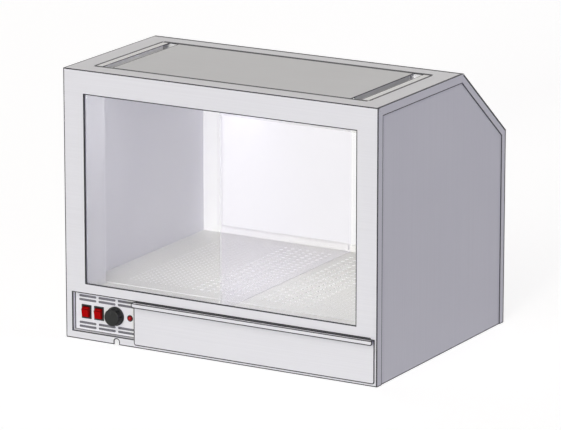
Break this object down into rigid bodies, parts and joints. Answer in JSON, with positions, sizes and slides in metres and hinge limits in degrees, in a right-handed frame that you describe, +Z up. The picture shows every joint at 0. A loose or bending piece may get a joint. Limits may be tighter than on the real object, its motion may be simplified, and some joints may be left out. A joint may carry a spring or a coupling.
{
  "type": "heated popcorn display case",
  "caption": "Heated counter display case for popcorn: folded stainless shell, glass front, clear divider, perforated floor, kernel drawer, control bay and clear rear serving flap.",
  "frame": {"origin": "under the middle of the whole object, on the surface that it stands on", "axes": "+X to the right as seen from the customer's side, +Y from the glass front to the serving side, +Z up"},
  "size_m": [0.8, 0.6134, 0.622],
  "materials": {
    "stainless_steel": "satin, fine grain",
    "toughened_glass": "clear",
    "clear_acrylic": "clear, polished edges",
    "black_rubber": "matt",
    "black_plastic": "fine texture",
    "red_plastic": "gloss, translucent",
    "white_enamel": "satin paint",
    "white_plastic": "smooth",
    "lamp_glass": "white phosphor coat inside",
    "heater_steel": "heat-tinted",
    "copper": "drawn",
    "nylon": "smooth",
    "hinge_steel": "polished"
  },
  "bodies": {
    "cabinet": {"front_panel": "stainless_steel", "top_panel": "stainless_steel", "rear_panel": "stainless_steel", "left_side_panel": "stainless_steel", "right_side_panel": "stainless_steel", "base_plate": "stainless_steel", "bay_partition": "stainless_steel", "kernel_chute": "stainless_steel", "front_ledge": "stainless_steel", "floor_rails": "stainless_steel", "floor_beam": "stainless_steel", "left_floor_tray": "stainless_steel", "right_floor_tray": "stainless_steel", "glass_retainer": "stainless_steel", "left_column": "stainless_steel", "right_column": "stainless_steel", "ceiling_channel": "stainless_steel", "top_plate": "stainless_steel", "plate_rails": "stainless_steel", "left_vent_strip": "stainless_steel", "right_vent_strip": "stainless_steel", "rear_pane_rails": "stainless_steel", "fan_bulkhead": "stainless_steel", "front_glass": "toughened_glass", "divider_pane": "clear_acrylic", "left_rear_pane": "clear_acrylic", "right_rear_pane": "clear_acrylic", "window_seal": "black_rubber", "left_switch_body": "black_plastic", "right_switch_body": "black_plastic", "pilot_body": "black_plastic", "fan_frame": "black_plastic", "cable_gland": "black_plastic", "pilot_lens": "red_plastic", "lamp_batten": "white_enamel", "control_panel": "white_enamel", "lamp_holders": "white_plastic", "terminal_block": "white_plastic", "thermostat_body": "white_plastic", "lamp_tube": "lamp_glass", "heater_element": "heater_steel", "thermostat_probe": "copper", "drawer_runners": "nylon", "flap_hinge_bases": "hinge_steel", "flap_hinge_pins": "hinge_steel", "fan_screws": "hinge_steel"},
    "drawer": {"drawer_tray": "stainless_steel", "drawer_front": "stainless_steel"},
    "left_rocker": {"left_rocker": "red_plastic"},
    "right_rocker": {"right_rocker": "red_plastic"},
    "knob": {"knob": "black_plastic", "thermostat_spindle": "hinge_steel"},
    "flap": {"flap_pane": "clear_acrylic", "flap_hinge_leaves": "hinge_steel", "flap_pull": "stainless_steel"},
    "fan_impeller": {"fan_impeller": "black_plastic"}
  },
  "joints": [
    {"name": "drawer_slide", "type": "slide", "parent": "cabinet", "child": "drawer", "axis": [0, -1, 0], "range_m": [0, 0.42]},
    {"name": "left_rocker_tilt", "type": "hinge", "parent": "cabinet", "child": "left_rocker", "pos_m": [-0.3513, -0.28013, 0.06315], "axis": [-1, 0, 0], "range_deg": [0, 20]},
    {"name": "right_rocker_tilt", "type": "hinge", "parent": "cabinet", "child": "right_rocker", "pos_m": [-0.3183, -0.28013, 0.06315], "axis": [-1, 0, 0], "range_deg": [0, 20]},
    {"name": "knob_turn", "type": "hinge", "parent": "cabinet", "child": "knob", "pos_m": [-0.2743, -0.2823, 0.06315], "axis": [0, 1, 0], "range_deg": [0, 270]},
    {"name": "flap_hinge", "type": "hinge", "parent": "cabinet", "child": "flap", "pos_m": [0, 0.12381, 0.60656], "axis": [1, 0, 0], "range_deg": [0, 140]},
    {"name": "fan_spin", "type": "hinge", "parent": "cabinet", "child": "fan_impeller", "pos_m": [-0.3085, -0.0583, 0.05934], "axis": [0, 1, 0], "continuous": true}
  ]
}
